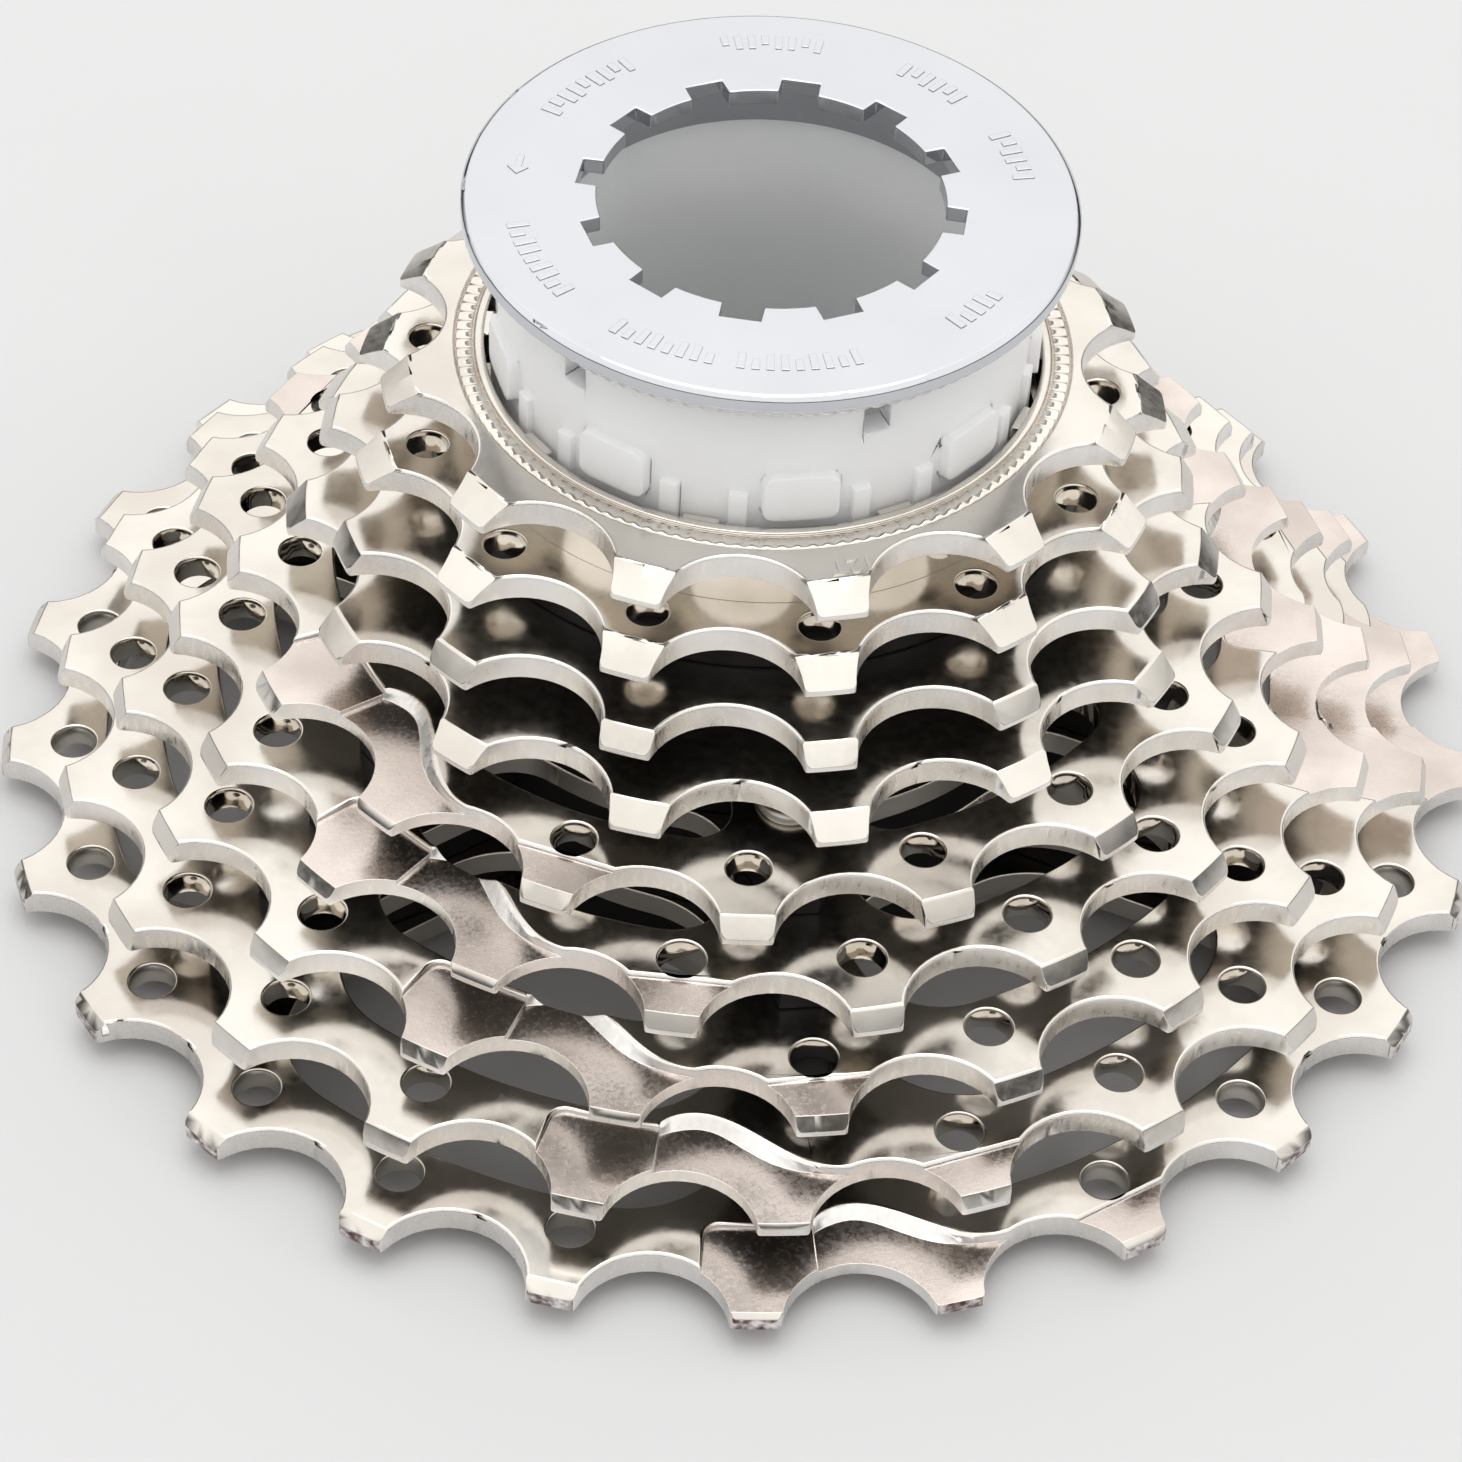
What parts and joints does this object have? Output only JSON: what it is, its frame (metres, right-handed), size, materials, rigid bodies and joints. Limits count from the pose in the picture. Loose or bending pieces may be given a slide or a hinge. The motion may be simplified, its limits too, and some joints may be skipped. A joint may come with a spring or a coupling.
{
  "type": "cassette sprocket",
  "caption": "Stack of stepped bicycle sprockets with plastic spacers, held on a plain plastic sleeve by a notched lockring.",
  "frame": {"origin": "centre of the sleeve's bore, in the plane of its foot", "axes": "+Z along the axle, from the largest sprocket towards the lockring; -Y towards the front"},
  "size_m": [0.1023, 0.1024, 0.0498],
  "materials": {
    "nickel_steel": "nickel plated, satin to mirror",
    "chrome": "bright plated",
    "rivet_steel": "satin",
    "black_plastic": "moulded, fine grain",
    "white_plastic": "moulded, slightly translucent"
  },
  "bodies": {
    "sleeve": {"sleeve": "white_plastic"},
    "cluster": {"sprocket_25t": "nickel_steel", "sprocket_23t": "nickel_steel", "sprocket_21t": "nickel_steel", "sprocket_19t": "nickel_steel", "sprocket_17t": "nickel_steel", "spacer_23_25": "black_plastic", "spacer_21_23": "black_plastic", "spacer_19_21": "black_plastic", "spacer_17_19": "black_plastic", "cluster_rivets": "rivet_steel"},
    "spacer_15_17": {"spacer_15_17": "black_plastic"},
    "sprocket_15t": {"sprocket_15t": "nickel_steel"},
    "spacer_14_15": {"spacer_14_15": "black_plastic"},
    "sprocket_14t": {"sprocket_14t": "nickel_steel"},
    "spacer_13_14": {"spacer_13_14": "black_plastic"},
    "sprocket_13t": {"sprocket_13t": "nickel_steel"},
    "sprocket_12t": {"sprocket_12t": "nickel_steel"},
    "lock_washer": {"lock_washer": "chrome"},
    "lockring": {"lockring": "chrome"}
  },
  "joints": [
    {"name": "cluster_lift", "type": "slide", "parent": "sleeve", "child": "cluster", "axis": [0, 0, 1], "range_m": [0, 0.0469]},
    {"name": "spacer_15_17_lift", "type": "slide", "parent": "cluster", "child": "spacer_15_17", "axis": [0, 0, 1], "range_m": [0, 0.0269]},
    {"name": "sprocket_15t_lift", "type": "slide", "parent": "spacer_15_17", "child": "sprocket_15t", "axis": [0, 0, 1], "range_m": [0, 0.0244]},
    {"name": "spacer_14_15_lift", "type": "slide", "parent": "sprocket_15t", "child": "spacer_14_15", "axis": [0, 0, 1], "range_m": [0, 0.0226]},
    {"name": "sprocket_14t_lift", "type": "slide", "parent": "spacer_14_15", "child": "sprocket_14t", "axis": [0, 0, 1], "range_m": [0, 0.0201]},
    {"name": "spacer_13_14_lift", "type": "slide", "parent": "sprocket_14t", "child": "spacer_13_14", "axis": [0, 0, 1], "range_m": [0, 0.0183]},
    {"name": "sprocket_13t_lift", "type": "slide", "parent": "spacer_13_14", "child": "sprocket_13t", "axis": [0, 0, 1], "range_m": [0, 0.0157]},
    {"name": "sprocket_12t_lift", "type": "slide", "parent": "sprocket_13t", "child": "sprocket_12t", "axis": [0, 0, 1], "range_m": [0, 0.0139]},
    {"name": "lockring_lift", "type": "slide", "parent": "sprocket_12t", "child": "lock_washer", "axis": [0, 0, 1], "range_m": [0, 0.00222]},
    {"name": "lockring_turn", "type": "hinge", "parent": "lock_washer", "child": "lockring", "pos_m": [0, 0, 0.0492], "axis": [0, 0, 1], "range_deg": [0, 720]}
  ],
  "couplings": [
    {"joint": "lockring_lift", "follows": "lockring_turn", "m_per_rad": 0.00016839}
  ]
}
